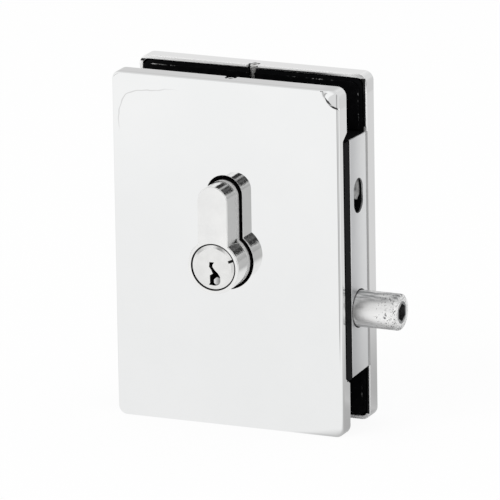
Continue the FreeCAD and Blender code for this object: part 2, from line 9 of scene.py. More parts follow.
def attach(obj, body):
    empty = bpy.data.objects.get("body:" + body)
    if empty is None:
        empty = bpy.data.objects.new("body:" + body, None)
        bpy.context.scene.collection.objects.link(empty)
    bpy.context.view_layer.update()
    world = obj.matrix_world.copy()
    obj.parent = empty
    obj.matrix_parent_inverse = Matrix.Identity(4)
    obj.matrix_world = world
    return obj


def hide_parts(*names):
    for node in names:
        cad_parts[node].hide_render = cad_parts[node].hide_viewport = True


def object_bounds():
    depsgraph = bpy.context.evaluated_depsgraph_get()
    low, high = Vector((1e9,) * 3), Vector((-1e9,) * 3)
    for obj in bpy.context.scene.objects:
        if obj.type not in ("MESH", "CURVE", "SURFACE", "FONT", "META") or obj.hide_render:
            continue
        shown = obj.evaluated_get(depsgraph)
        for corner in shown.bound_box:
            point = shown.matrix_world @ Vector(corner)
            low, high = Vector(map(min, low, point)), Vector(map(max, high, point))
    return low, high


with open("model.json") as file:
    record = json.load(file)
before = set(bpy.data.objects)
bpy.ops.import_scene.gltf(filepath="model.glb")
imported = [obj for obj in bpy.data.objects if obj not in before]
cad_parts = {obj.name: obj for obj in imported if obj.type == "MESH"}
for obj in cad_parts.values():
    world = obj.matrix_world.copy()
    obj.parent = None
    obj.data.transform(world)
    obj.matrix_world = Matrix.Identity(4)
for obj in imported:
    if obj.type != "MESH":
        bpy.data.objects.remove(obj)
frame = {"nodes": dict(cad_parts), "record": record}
cad_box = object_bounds()

# The camera stands well back with a long lens, a little above the lock and to its right, where a
# catalogue photographer puts it, so that the edges of the covers stay nearly parallel. It leans by
# under one degree.
mm = 0.001
azimuth = math.radians(23.82)
elevation = math.radians(15.57)
roll = math.radians(-0.94)
distance = 2653 * mm
lens = 622.96
sensor = 36.0
front_face = Vector((0, -13.7 * mm, 0))
aim_right = 6.87 * mm
aim_up = 1.33 * mm

sight = Vector(
    (
        -math.sin(azimuth) * math.cos(elevation),
        math.cos(azimuth) * math.cos(elevation),
        -math.sin(elevation),
    )
)
level = Vector((math.cos(azimuth), math.sin(azimuth), 0))
upright = level.cross(sight)
right = math.cos(roll) * level + math.sin(roll) * upright
up = math.cos(roll) * upright - math.sin(roll) * level
camera_data = bpy.data.cameras.new("camera")
camera_data.sensor_fit = "HORIZONTAL"
camera_data.sensor_width = sensor
camera_data.lens = lens
camera_data.clip_start = 0.1
camera_data.clip_end = 60
camera = bpy.data.objects.new("camera", camera_data)
bpy.context.scene.collection.objects.link(camera)
camera_place = front_face + aim_right * right + aim_up * up - distance * sight
camera_turn = Matrix((right, up, -sight)).transposed().to_4x4()
camera.matrix_world = Matrix.Translation(camera_place) @ camera_turn
bpy.context.scene.camera = camera

# The studio is a white table under a big soft sky, with one soft lamp above the left shoulder of the
# camera. Both are white to the camera. To polished metal they are greyer behind and overhead, and
# round the camera is the dark end of the room, with a lamp stand, a shelf and two dim side walls.
table_half = 20.0
table_colour = (0.95, 0.95, 0.95, 1)
table_glow = 0.92
table_front = 0.93
table_front_far = 0.98
table_back = 0.48
table_back_far = 0.82
front_fade = (0.14, 0.42)
back_fade = (0.05, 0.19)
ambient_light = 0.84
lamp_place = Vector((-0.55, -1.05, 1.25))
lamp_size = 0.9
lamp_power = 7.0
lamp_colour = (1.0, 0.99, 0.975)
sky_behind = 0.77
behind_fade = (-0.1, 0.5)
overhead_fade = (0.42, 0.58)
room_left = -0.31
room_right = 0.52
room_low = 0.2
room_high = 0.66
room_glow = 0.015
frayed = 0.05
wall_left = -0.4
wall_right = 0.2
wall_shade = 0.5
horizon_half = 0.014
horizon_shade = 0.3
stand_aside = 0.045
stand_half = 0.1
stand_glow = 0.5
stand_shade = 0.45
stand_fade = (0.12, 0.22)
stand_spread = (0.16, 0.4)
shelf_left = 0.12
shelf_right = 0.4
shelf_glow = 0.12
clutter_glow = 0.12


class Flow:
    """One output of a shader node. Arithmetic on it adds Math nodes to the same node tree."""

    def __init__(self, tree, socket=None):
        self.tree = tree
        self.socket = socket

    def node(self, kind, settings=None, sockets=None, output=0):
        """Adds a node: its settings first, then the values or links of its sockets."""
        made = self.tree.nodes.new("ShaderNode" + kind)
        for name, value in (settings or {}).items():
            setattr(made, name, value)
        for name, value in (sockets or {}).items():
            if isinstance(value, Flow):
                self.tree.links.new(value.socket, made.inputs[name])
            else:
                made.inputs[name].default_value = value
        return Flow(self.tree, made.outputs[output] if made.outputs else None)

    def math(self, operation, *terms):
        return self.node("Math", {"operation": operation}, dict(enumerate(terms)))

    def smooth(self, low, high):
        """0 below low and 1 above high, with a soft step between."""
        settings = {"interpolation_type": "SMOOTHSTEP"}
        return self.node("MapRange", settings, {"Value": self, "From Min": low, "From Max": high})

    def between(self, first, second):
        """A number that goes from first to second as this one goes from 0 to 1."""
        return self.node("Mix", {"data_type": "FLOAT"}, {0: self, 2: first, 3: second})

    def tint(self, first, second):
        """A colour that goes from first to second as this number goes from 0 to 1."""
        return self.node("Mix", {"data_type": "RGBA"}, {0: self, 6: first, 7: second}, output=2)

    def parts(self):
        """The X, Y and Z of a place or direction."""
        split = self.node("SeparateXYZ", None, {"Vector": self}).socket.node
        return [Flow(self.tree, output) for output in split.outputs]

    def __add__(self, other):
        return self.math("ADD", self, other)

    def __radd__(self, other):
        return self.math("ADD", other, self)

    def __sub__(self, other):
        return self.math("SUBTRACT", self, other)

    def __rsub__(self, other):
        return self.math("SUBTRACT", other, self)

    def __mul__(self, other):
        return self.math("MULTIPLY", self, other)

    def __rmul__(self, other):
        return self.math("MULTIPLY", other, self)

    def __truediv__(self, other):
        return self.math("DIVIDE", self, other)

    def __abs__(self):
        return self.math("ABSOLUTE", self)


def new_tree(owner):
    """The emptied node tree of a material or the world."""
    owner.use_nodes = True
    owner.node_tree.nodes.clear()
    return Flow(owner.node_tree)


def grey(level):
    return (level, level, level, 1)


sky = bpy.data.worlds.new("sky")
bpy.context.scene.world = sky
tree = new_tree(sky)
direction = tree.node("TexCoord", output="Generated")
across, ahead, rise = direction.parts()
facing = tree.math("MAXIMUM", 0 - ahead, 0.05)
aside = across / facing
above = rise / facing
in_front = (0 - ahead).smooth(0.1, 0.3)
blur = tree.node("TexNoise", None, {"Vector": direction, "Scale": 14.0, "Detail": 4.0})
edge = (blur - 0.5) * frayed
mirrored = tree.math("MAXIMUM", ahead.smooth(*behind_fade), rise.smooth(*overhead_fade))
mirrored = mirrored.between(1.0, sky_behind)
wall = in_front * (1 - above.smooth(room_low - 0.02, room_low))
right_wall = aside.smooth(wall_right, wall_right + 0.16) * wall_shade
left_wall = (1 - aside.smooth(wall_left - 0.3, wall_left)) * wall_shade
horizon = (1 - abs(above - horizon_half).smooth(horizon_half * 0.5, horizon_half)) * in_front
mirrored = mirrored * (1 - wall * (right_wall + left_wall)) * (1 - horizon * horizon_shade)
dark = (aside + edge).smooth(room_left - 0.03, room_left + 0.02)
dark = dark * (1 - aside.smooth(room_right, room_right + 0.1))
dark = dark * (above + edge).smooth(room_low - 0.012, room_low + 0.012)
dark = dark * (1 - above.smooth(room_high, room_high + 0.14))
stand = 1 - abs(aside - stand_aside).smooth(stand_half * 0.35, stand_half)
shelf = aside.smooth(shelf_left, shelf_left + 0.06) * (1 - aside.smooth(shelf_right - 0.06, shelf_right))
room = stand * stand_glow + shelf * shelf_glow * blur.smooth(0.35, 0.6)
room = room + blur.smooth(0.5, 0.75) * clutter_glow + room_glow
mirrored = (dark * in_front).between(mirrored, room)
to_camera = tree.node("LightPath", output="Is Camera Ray")
to_metal = tree.node("LightPath", output="Is Glossy Ray")
to_glass = tree.node("LightPath", output="Is Transmission Ray")
light = to_metal.between(ambient_light, mirrored)
light = (to_camera + to_glass).between(light, 1.0)
backdrop = tree.node("Background", None, {"Color": grey(1.0), "Strength": light})
tree.node("OutputWorld", None, {"Surface": backdrop})

white_table = bpy.data.materials.new("white_table")
tree = new_tree(white_table)
place = tree.node("TexCoord", output="Object")
across, ahead, _ = place.parts()
reach = tree.math("SQRT", across * across + ahead * ahead) + 0.001
behind = (ahead / reach).smooth(-0.2, 0.75)
aside = (across / reach).smooth(0.78, 0.95)
away = tree.math("MAXIMUM", aside, behind)
# To metal the table glows darker close behind the lock, as painted shade, and along the camera's line, as a
# painted shadow of the lamp stand.
front_glow = reach.smooth(*front_fade).between(table_front, table_front_far)
back_glow = reach.smooth(*back_fade).between(table_back, table_back_far)
mirrored = away.between(front_glow, back_glow)
along = across * math.sin(azimuth) - ahead * math.cos(azimuth)
beside = abs(across * math.cos(azimuth) + ahead * math.sin(azimuth))
spread = beside / tree.math("MAXIMUM", along, 0.01)
stand = along.smooth(*stand_fade) * (1 - spread.smooth(*stand_spread))
mirrored = mirrored * (1 - stand * stand_shade)
to_camera = tree.node("LightPath", output="Is Camera Ray")
to_metal = tree.node("LightPath", output="Is Glossy Ray")
to_glass = tree.node("LightPath", output="Is Transmission Ray")
glow = to_metal.between(1.0, mirrored)
matt = tree.node("BsdfDiffuse", None, {"Color": table_colour})
bright = tree.node("Emission", None, {"Color": grey(1.0), "Strength": glow})
seen = (to_camera + to_metal + to_glass) * table_glow
surface = tree.node("MixShader", None, {0: seen, 1: matt, 2: bright})
tree.node("OutputMaterial", None, {"Surface": surface})


def new_piece(name, mesh):
    """An object at the origin from a finished bmesh, which is freed."""
    data = bpy.data.meshes.new(name)
    mesh.to_mesh(data)
    mesh.free()
    piece = bpy.data.objects.new(name, data)
    bpy.context.scene.collection.objects.link(piece)
    return piece


sheet = bmesh.new()
bmesh.ops.create_grid(sheet, x_segments=4, y_segments=4, size=table_half)
bmesh.ops.translate(sheet, verts=sheet.verts, vec=(0, 0, cad_box[0].z))
table = new_piece("white_table", sheet)
table.data.materials.append(white_table)

lamp_data = bpy.data.lights.new("soft_lamp", "AREA")
lamp_data.shape = "DISK"
lamp_data.size = lamp_size
lamp_data.energy = lamp_power
lamp_data.color = lamp_colour
lamp = bpy.data.objects.new("soft_lamp", lamp_data)
bpy.context.scene.collection.objects.link(lamp)
lamp_turn = (-lamp_place).to_track_quat("-Z", "Y").to_matrix().to_4x4()
lamp.matrix_world = Matrix.Translation(lamp_place) @ lamp_turn
lamp.visible_glossy = False
bpy.context.scene.view_settings.view_transform = "Standard"

# The lock case fills the cut-out in the glass. It is a cast tray, coated black, with a thick
# right-hand end, the forend, that is ground and bead blasted and left satin. Its colour is painted
# lighter towards its rear and brighter along its front and rear edges, as painted shading and painted
# highlights. The forend has a round bore for the bolt, edged with painted shade in black, and an oval
# hole above it.
forend_x = 37.6 * mm
forend_half = 6.4 * mm
forend_shaded_tone = (0.60, 0.605, 0.615, 1)
forend_lit_tone = (0.83, 0.835, 0.84, 1)
forend_highlight_tone = grey(0.97)
forend_shading_fade = (-4 * mm, 8 * mm)
bolt_z = -17.0 * mm
bore_shade_radius = 6.15 * mm
coat_and_shade_black = (0.0045, 0.0046, 0.0052, 1)
weld_reach = 0.0015 * mm
sliver_width = 0.0005 * mm


def new_finish(name):
    """A new material, its node tree, and the place on the object that its pattern is laid on."""
    material = bpy.data.materials.new(name)
    tree = new_tree(material)
    return material, tree, tree.node("TexCoord", output="Object")


def grain(place, scale, detail=3.0, roughness=0.55, stretch=None):
    """Noise from 0 to 1 with features of about 1/scale metres, drawn out where stretch is small."""
    if stretch:
        place = place.node("Mapping", None, {"Vector": place, "Scale": stretch})
    sockets = {"Vector": place, "Scale": scale, "Detail": detail, "Roughness": roughness}
    return place.node("TexNoise", None, sockets)


def relief(height, depth):
    """A bumped normal from a height of 0 to 1 that stands for a real depth in metres."""
    return height.node("Bump", None, {"Height": height, "Distance": depth, "Strength": 1.0})


def lay_on(tree, colour, roughness, metallic, normal, **fixed):
    """Ends a material's tree in its one shader."""
    sockets = {"Base Color": colour, "Roughness": roughness, "Metallic": metallic, "Normal": normal}
    sockets.update({name.replace("_", " "): value for name, value in fixed.items()})
    shader = tree.node("BsdfPrincipled", None, sockets)
    tree.node("OutputMaterial", None, {"Surface": shader})


body_of_node = {
    node: body for body, nodes in frame["record"]["behaviour"]["bodies"].items() for node in nodes
}


def fit(piece, node):
    """Makes a piece ride where its CAD node rides and stand for it."""
    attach(piece, body_of_node[node])
    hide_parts(node)


def smooth_by_angle(mesh, degrees=32):
    """Smooth shading with sharp edges where two faces meet at more than an angle."""
    for face in mesh.faces:
        face.smooth = True
    limit = math.radians(degrees)
    for edge in mesh.edges:
        edge.smooth = len(edge.link_faces) == 2 and edge.calc_face_angle(0) < limit


def keep_flats_flat(piece):
    """Large faces set the shading at their borders, so that flat metal reflects as flat metal."""
    weighting = piece.modifiers.new("flats", "WEIGHTED_NORMAL")
    weighting.keep_sharp = True
    weighting.weight = 80


def loose_copy(node):
    """A bmesh copy of a CAD node with its loose triangles joined."""
    mesh = bmesh.new()
    mesh.from_mesh(frame["nodes"][node].data)
    bmesh.ops.remove_doubles(mesh, verts=mesh.verts, dist=weld_reach)
    bmesh.ops.dissolve_degenerate(mesh, edges=mesh.edges, dist=sliver_width)
    return mesh


def refinished(mesh, name, material):
    """A piece from the copy of a CAD node, without the node's own shading and finish."""
    piece = new_piece(name, mesh)
    if "custom_normal" in piece.data.attributes:
        piece.data.attributes.remove(piece.data.attributes["custom_normal"])
    piece.data.materials.clear()
    piece.data.materials.append(material)
    return piece


def dressed(node, name, material):
    """A smooth copy of a CAD node in a new finish, which stands for the node."""
    mesh = loose_copy(node)
    smooth_by_angle(mesh)
    piece = refinished(mesh, name, material)
    keep_flats_flat(piece)
    fit(piece, node)


blasted_case, tree, place = new_finish("blasted_case")
across, through, height = place.parts()
cloud = grain(place, 90, 4.0)
beads = grain(place, 5200, 2.0, 0.7)
drawn = grain(place, 900, 2.0, 0.6, (1, 1, 0.06))
# The forend is painted lighter towards its rear and brighter along its front and rear edges, as painted
# shading and painted highlights.
tone = (through + cloud * 5 * mm).smooth(*forend_shading_fade).tint(forend_shaded_tone, forend_lit_tone)
forend_edge_highlight = (abs(through) + drawn * 0.5 * mm).smooth(forend_half - 0.2 * mm, forend_half + 0.05 * mm)
tone = forend_edge_highlight.tint(tone, forend_highlight_tone)
# Round the bolt's bore the forend is painted black, as painted shade.
drop = height - bolt_z
around_bolt = tree.math("SQRT", through * through + drop * drop)
bare = across.smooth(forend_x - 0.08 * mm, forend_x)
bare = bare * around_bolt.smooth(bore_shade_radius - 0.12 * mm, bore_shade_radius)
lay_on(
    tree,
    bare.tint(coat_and_shade_black, tone),
    bare.between(0.6, 0.34 + cloud * 0.1 + beads * 0.06),
    bare,
    relief(beads * 0.7 + drawn * 0.3, 0.004 * mm),
    Specular_IOR_Level=0.03,
)
dressed("lock_case", "lock_case_body", blasted_case)

# Behind the forend's oval hole stands one plate of the works, a latch stamped from steel sheet. Its
# corners are rounded, and old grease has darkened it in streaks.
latch_x = 36.9 * mm
latch_outline = [(-3.5, 23.9), (3.5, 23.9), (3.5, 18.4), (1.6, 16.9), (-0.6, 17.8), (-3.5, 20.6)]
latch_thickness = 0.8 * mm
latch_rounding = 0.25 * mm
latch_dark = (0.06, 0.06, 0.062, 1)
latch_clear = (0.5, 0.5, 0.495, 1)


def rounded(mesh, edges, radius, segments):
    """Rounds edges of a mesh to a radius."""
    bmesh.ops.bevel(
        mesh, geom=edges, offset=radius, segments=segments, profile=0.5, affect="EDGES", material=-1
    )


works_steel, tree, place = new_finish("works_steel")
cloud = grain(place, 420, 4.0)
drawn = grain(place, 2600, 3.0, 0.6, (1, 1, 0.08))
lay_on(
    tree,
    (cloud * 0.5 + drawn * 0.5).smooth(0.36, 0.62).tint(latch_dark, latch_clear),
    0.42 + drawn * 0.2,
    0.3,
    relief(drawn, 0.02 * mm),
)
mesh = bmesh.new()
outline = [mesh.verts.new((latch_x, y * mm, z * mm)) for y, z in latch_outline]
plate = mesh.faces.new(outline)
grown = bmesh.ops.extrude_face_region(mesh, geom=[plate])["geom"]
moved = [item for item in grown if isinstance(item, bmesh.types.BMVert)]
bmesh.ops.translate(mesh, verts=moved, vec=(-latch_thickness, 0, 0))
bmesh.ops.recalc_face_normals(mesh, faces=mesh.faces)
rounded(mesh, mesh.edges[:], latch_rounding, 3)
smooth_by_angle(mesh)
latch = new_piece("works_latch", mesh)
latch.data.materials.append(works_steel)
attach(latch, "lock")

# The dead bolt is a turned steel bar, zinc plated and then handled, so its plating is clouded and
# spotted. Its upper and lower sides are painted darker in streaks, as painted shade. A hardened core
# with a hexagon socket is screwed into its end.
zinc_light = (0.97, 0.97, 0.965, 1)
zinc_side_shade = (0.34, 0.345, 0.35, 1)
zinc_spot = (0.10, 0.10, 0.105, 1)
bolt_half = 5.7 * mm
spotted_from = 38 * mm
spotted_to = 47 * mm
handled_from = 39 * mm
handled_to = 50 * mm
core_dark = (0.2, 0.205, 0.21, 1)
core_clear = grey(0.4)

mottled_zinc, tree, place = new_finish("mottled_zinc")
out, _, height = place.parts()
side = abs((height - bolt_z) / bolt_half)
cloud = grain(place, 240, 5.0, 0.65)
smear = grain(place, 1100, 4.0, 0.6, (0.16, 1, 1))
fleck = grain(place, 1500, 5.0, 0.68)
# The bolt's upper and lower sides are painted darker in streaks, as painted shade.
dull = side.smooth(0.45, 0.95) * smear.smooth(0.34, 0.62)
tone = dull.tint(zinc_light, zinc_side_shade)
handled = out.smooth(handled_from, handled_to) * 0.1
specks = (fleck + handled).smooth(0.66, 0.71) * out.smooth(spotted_from, spotted_to)
tone = specks.tint(tone, zinc_spot)
lay_on(
    tree,
    tone,
    0.3 + cloud * 0.1 + dull * 0.05 + specks * 0.2,
    0.72,
    relief(fleck * 0.6 + smear * 0.4, 0.05 * mm),
)
dressed("dead_bolt", "dead_bolt_bar", mottled_zinc)

hard_core, tree, place = new_finish("hard_core")
cloud = grain(place, 400, 4.0)
turned = grain(place, 2400, 2.0, 0.5)
lay_on(
    tree,
    cloud.smooth(0.3, 0.7).tint(core_dark, core_clear),
    0.28 + cloud * 0.16,
    1.0,
    relief(turned, 0.006 * mm),
)
dressed("bolt_core", "bolt_core_screw", hard_core)

# The profile cylinder is a brass housing, plated with nickel. Its end faces are finely brushed, and
# its sides are milled, with fine marks that run round them. Close to the covers the sides are rubbed
# dull. Behind the covers' faces, in a gap that lets in next to no light, and round the plugs inside the
# bore, they are painted nearly black as painted shade.
barrel_middle = Vector((-0.8 * mm, 0, -1.8 * mm))
nickel = (0.93, 0.93, 0.92, 1)
nickel_dull = (0.85, 0.85, 0.845, 1)
nickel_shade_tone = (0.008, 0.008, 0.008, 1)
cylinder_end = 23.0 * mm
bore_radius = 7.42 * mm
worn_to = 16.0 * mm
shaded_to = 14.0 * mm


def from_barrel(tree, across, height):
    """How far a place lies to the right of the barrel's axis, above the axis, and out from it."""
    aside = across - barrel_middle.x
    rise = height - barrel_middle.z
    return aside, rise, tree.math("SQRT", aside * aside + rise * rise)


satin_nickel, tree, place = new_finish("satin_nickel")
across, through, height = place.parts()
_, _, out = from_barrel(tree, across, height)
# In the gap behind the covers and round the plugs inside the bore the housing is painted nearly black, as
# painted shade.
in_bore = 1 - out.smooth(bore_radius - 0.01 * mm, bore_radius + 0.03 * mm)
in_bore = in_bore * abs(through).smooth(cylinder_end - 3 * mm, cylinder_end - 2 * mm)
end_face = abs(through).smooth(cylinder_end - 0.12 * mm, cylinder_end - 0.02 * mm)
worn = 1 - abs(through).smooth(worn_to - 0.6 * mm, worn_to + 0.5 * mm)
shaded = 1 - abs(through).smooth(shaded_to, shaded_to + 0.25 * mm)
painted_gap_shade = tree.math("MAXIMUM", in_bore, shaded)
cloud = grain(place, 120, 4.0)
brushed = grain(place, 2600, 2.0, 0.6, (0.04, 1, 1))
milled = grain(place, 5200, 2.0, 0.6, (0.05, 1, 0.05))
tone = cloud.smooth(0.25, 0.75).tint(nickel_dull, nickel)
lay_on(
    tree,
    painted_gap_shade.tint(tone, nickel_shade_tone),
    end_face.between(0.06 + cloud * 0.04, 0.22 + cloud * 0.08) + in_bore * 0.3 + worn * 0.3,
    (1 - painted_gap_shade) * (1 - worn * 0.6),
    relief(end_face.between(milled, brushed * 0.3), 0.018 * mm),
    Specular_IOR_Level=0.1,
)
dressed("cylinder_body", "cylinder_housing", satin_nickel)

# Two brass key plugs, nickel plated, turn in the housing, one from each side. Each is turned with a
# wide shallow chamfer, broached with a warded key slot, and marked at its rest with a notch that is only
# painted, as painted shade. Deeper than the chamfer the key slot's walls, and the plug's outer rim, are
# painted nearly black as painted shade, and the ward's floor is painted darker towards the right as
# painted shading.
plug_radius = 6.5 * mm
flange_radius = 7.1 * mm
flange_thickness = 1.2 * mm
plug_length = 14.0 * mm
plug_sides = 96
chamfer_width = 1.1 * mm
chamfer_depth = 0.32 * mm
ward_depth = 0.8 * mm
slot_length = 9.0 * mm
mark_angle = math.radians(22)
mark_length = 1.6 * mm
mark_half = 0.42 * mm
rim_shade = 0.17 * mm
plug_dull = (0.8, 0.8, 0.79, 1)
plug_clear = (0.87, 0.87, 0.86, 1)
plug_shade_tone = (0.006, 0.006, 0.006, 1)
ward_lit_tone = grey(0.82)
ward_shaded_tone = grey(0.3)
slot_head = [
    (-1.2, 1.6),
    (0.35, 1.6),
    (-0.2, 0.8),
    (-0.2, 0.1),
    (0.55, -0.85),
    (1.6, -1.8),
    (2.25, -2.8),
    (2.35, -3.6),
]
slot_ward = [(0.9, -3.2), (-0.1, -4.0), (-0.1, -5.1)]
ward_side = [(2.35, -4.4), (2.0, -5.1), (1.3, -5.6)]
slot_foot = [
    (0.5, -5.75),
    (-1.5, -5.6),
    (-1.1, -5.0),
    (-1.15, -2.6),
    (-0.15, -2.0),
    (-0.65, -0.85),
    (-1.35, 0.1),
]

satin_plug, tree, place = new_finish("satin_plug")
across, through, height = place.parts()
aside, rise, out = from_barrel(tree, across, height)
# The rest notch, the key slot deeper than the chamfer and the plug's outer rim are painted nearly black, as
# painted shade.
off_mark = abs(rise * math.cos(mark_angle) - aside * math.sin(mark_angle))
on_mark = (1 - off_mark.smooth(mark_half - 0.05 * mm, mark_half + 0.05 * mm)) * aside.smooth(0, 1 * mm)
on_mark = on_mark * out.smooth(flange_radius - mark_length - 0.06 * mm, flange_radius - mark_length)
chamfer_foot = cylinder_end - chamfer_depth
deep = 1 - abs(through).smooth(chamfer_foot, chamfer_foot + 0.06 * mm)
on_ward = 1 - abs(abs(through) - cylinder_end + ward_depth).smooth(0.03 * mm, 0.06 * mm)
at_rim = out.smooth(flange_radius - rim_shade, flange_radius - rim_shade + 0.05 * mm)
plug_shade = tree.math("MAXIMUM", tree.math("MAXIMUM", on_mark, at_rim), deep * (1 - on_ward))
drift = grain(place, 900, 2.0)
# The ward's floor is painted darker towards the right, as painted shading.
ward_shading = (aside + drift * 0.8 * mm).smooth(0.0, 2.2 * mm).tint(ward_lit_tone, ward_shaded_tone)
cloud = grain(place, 300, 4.0)
fine = grain(place, 5200, 2.0, 0.6)
tone = cloud.smooth(0.25, 0.75).tint(plug_dull, plug_clear)
lay_on(
    tree,
    plug_shade.tint(on_ward.tint(tone, ward_shading), plug_shade_tone),
    0.16 + cloud * 0.08 + plug_shade * 0.3,
    1 - plug_shade,
    relief(fine, 0.002 * mm),
    Specular_IOR_Level=0.1,
)


def ring_of_edges(mesh, places):
    """A closed ring of new edges through places."""
    verts = [mesh.verts.new(place) for place in places]
    return [mesh.edges.new(pair) for pair in zip(verts, verts[1:] + verts[:1])]


def drawn_ring(mesh, ring, scale, shift):
    """Extrudes a ring of edges, grows it about the barrel's middle, and moves it along the plug."""
    grown = bmesh.ops.extrude_edge_only(mesh, edges=ring)["geom"]
    verts = [item for item in grown if isinstance(item, bmesh.types.BMVert)]
    about = Matrix.Translation(-barrel_middle)
    bmesh.ops.scale(mesh, verts=verts, vec=(scale, 1, scale), space=about)
    bmesh.ops.translate(mesh, verts=verts, vec=(0, shift, 0))
    return [item for item in grown if isinstance(item, bmesh.types.BMEdge)]


def fill(mesh, edges):
    """Closes a flat ring of edges with triangles, and leaves a second ring inside it open."""
    bmesh.ops.triangle_fill(mesh, use_beauty=True, use_dissolve=False, edges=edges)


def on_plug(points, y):
    """Places on the plug from an outline in millimetres about its middle."""
    return [(barrel_middle.x + x * mm, y, barrel_middle.z + z * mm) for x, z in points]


def turn_to_rear(mesh):
    """Mirrors a front piece to the far side of the glass, with its faces still outwards."""
    bmesh.ops.scale(mesh, verts=mesh.verts, vec=(1, -1, 1))
    bmesh.ops.reverse_faces(mesh, faces=mesh.faces)


def key_plug(node, name, is_rear):
    """A turned plug: its pierced end face, chamfer, flange and barrel, then the key slot's walls."""
    mesh = bmesh.new()
    face_radius = flange_radius - chamfer_width
    turns = [math.tau * i / plug_sides for i in range(plug_sides)]
    circle = [(face_radius / mm * math.cos(t), face_radius / mm * math.sin(t)) for t in turns]
    rim = ring_of_edges(mesh, on_plug(circle, -cylinder_end))
    mouth = ring_of_edges(mesh, on_plug(slot_head + ward_side + slot_foot, -cylinder_end))
    fill(mesh, rim + mouth)
    rim = drawn_ring(mesh, rim, flange_radius / face_radius, chamfer_depth)
    rim = drawn_ring(mesh, rim, 1, flange_thickness - chamfer_depth)
    rim = drawn_ring(mesh, rim, plug_radius / flange_radius, 0)
    rim = drawn_ring(mesh, rim, 1, plug_length)
    fill(mesh, rim)
    drawn_ring(mesh, mouth, 1, ward_depth)
    ward_outline = slot_head[-1:] + ward_side + slot_foot[:1] + slot_ward[::-1]
    fill(mesh, ring_of_edges(mesh, on_plug(ward_outline, ward_depth - cylinder_end)))
    throat = ring_of_edges(mesh, on_plug(slot_head + slot_ward + slot_foot, ward_depth - cylinder_end))
    fill(mesh, drawn_ring(mesh, throat, 1, slot_length))
    bmesh.ops.remove_doubles(mesh, verts=mesh.verts, dist=0.001 * mm)
    bmesh.ops.recalc_face_normals(mesh, faces=mesh.faces)
    if is_rear:
        turn_to_rear(mesh)
    smooth_by_angle(mesh, 8)
    plug = new_piece(name, mesh)
    plug.data.materials.append(satin_plug)
    keep_flats_flat(plug)
    fit(plug, node)


key_plug("front_plug", "front_key_plug", False)
key_plug("rear_plug", "rear_key_plug", True)

# The gaskets are C-shaped sheets of soft rubber, die cut, with a fine calendered texture. The rear one
# carries a broken painted highlight along its outer front edge.
gasket_edge_y = 6.1 * mm
gasket_half_width = 35.8 * mm
gasket_half_height = 52.8 * mm
rubber_dark = (0.0025, 0.0025, 0.003, 1)
rubber_clear = (0.006, 0.006, 0.0066, 1)
gasket_highlight_tone = grey(0.5)


def on_rear(through):
    """1 on the half of the lock that is behind the glass, and 0 on the half in front of it."""
    return through.smooth(0, 1 * mm)


rubber, tree, place = new_finish("gasket_rubber")
across, through, height = place.parts()
cloud = grain(place, 500, 5.0)
fine = grain(place, 7000, 2.0, 0.6)
broken = grain(place, 900, 4.0, 0.7)
patchy = grain(place, 90, 2.0)
# A broken painted highlight runs along the rear gasket's outer front edge.
outward = tree.math("MAXIMUM", abs(across) - gasket_half_width, abs(height) - gasket_half_height)
on_edge = outward.smooth(-0.25 * mm, -0.1 * mm)
on_edge = on_edge * (1 - through.smooth(gasket_edge_y, gasket_edge_y + 0.2 * mm))
gasket_edge_highlight = on_edge * on_rear(through) * (broken * 0.6 + patchy * 0.7).smooth(0.68, 0.86)
lay_on(
    tree,
    gasket_edge_highlight.tint(cloud.smooth(0.45, 0.8).tint(rubber_dark, rubber_clear), gasket_highlight_tone),
    0.5 + cloud * 0.15,
    0.0,
    relief(fine, 0.01 * mm),
    Specular_IOR_Level=0.03,
)
dressed("front_gasket", "front_gasket_sheet", rubber)
dressed("rear_gasket", "rear_gasket_sheet", rubber)

# The clamp plates are die castings with a black powder coat. They grip the glass, carry the covers,
# and show as the black lip beside the forend. The thin lip at the rear is painted a lighter grey, as
# painted light.
lip_x = 37.4 * mm
coat_clear = (0.0075, 0.0077, 0.0085, 1)
lip_light_tone = grey(0.4)

black_coat, tree, place = new_finish("black_coat")
across, through, _ = place.parts()
# The thin rear lip is painted a lighter grey, as painted light.
lit_lip = on_rear(through) * across.smooth(lip_x - 0.2 * mm, lip_x)
cloud = grain(place, 300, 4.0)
peel = grain(place, 2200, 2.0, 0.5)
fine = grain(place, 8000, 2.0, 0.6)
lay_on(
    tree,
    lit_lip.tint(cloud.smooth(0.4, 0.8).tint(coat_and_shade_black, coat_clear), lip_light_tone),
    0.42 + cloud * 0.15,
    0.0,
    relief(peel * 0.7 + fine * 0.3, 0.02 * mm),
    Specular_IOR_Level=0.02,
)
dressed("front_clamp_plate", "front_clamp_casting", black_coat)
dressed("rear_clamp_plate", "rear_clamp_casting", black_coat)

# The covers are pressed from stainless sheet and polished to a mirror: flat face, rounded bends, and
# a rim with a notch beside the forend and slots for the grub screws. Both are dished at the top right.
# The front one has a painted reflection of a crease at its top left and a painted dark reflection by
# its right bend. Their side and top walls are painted darker as painted shade, the rear top wall
# lighter as painted light, their rims carry painted highlights, the rear rim's end face is painted
# pale as a painted highlight, and parts of it are painted black.
cover_half_width = 38.0 * mm
cover_half_height = 55.0 * mm
front_rim = 8.2 * mm
rear_rim = 7.3 * mm
cover_face = 13.7 * mm
cover_sheet = 1.2 * mm
corner_radius = 2.9 * mm
bend_radius = 0.9 * mm
edge_radius = 0.25 * mm
cut_out_gap = 0.78 * mm
barrel_radius = 8.5 * mm
slim_radius = 5.0 * mm
slim_arc_z = 19.1 * mm
grub_hole_y = 9.2 * mm
grub_hole_radius = 1.75 * mm
front_notch = 3.1 * mm
rear_notch = 0.1 * mm
notch_slope = 2.1 * mm
notch_top = 38.5 * mm
notch_foot = -36.5 * mm
blacked_depth = 0.35 * mm
blacked_left = 36.0 * mm
blacked_right = 37.6 * mm
blacked_foot = -53.0 * mm
blacked_top = 53.7 * mm
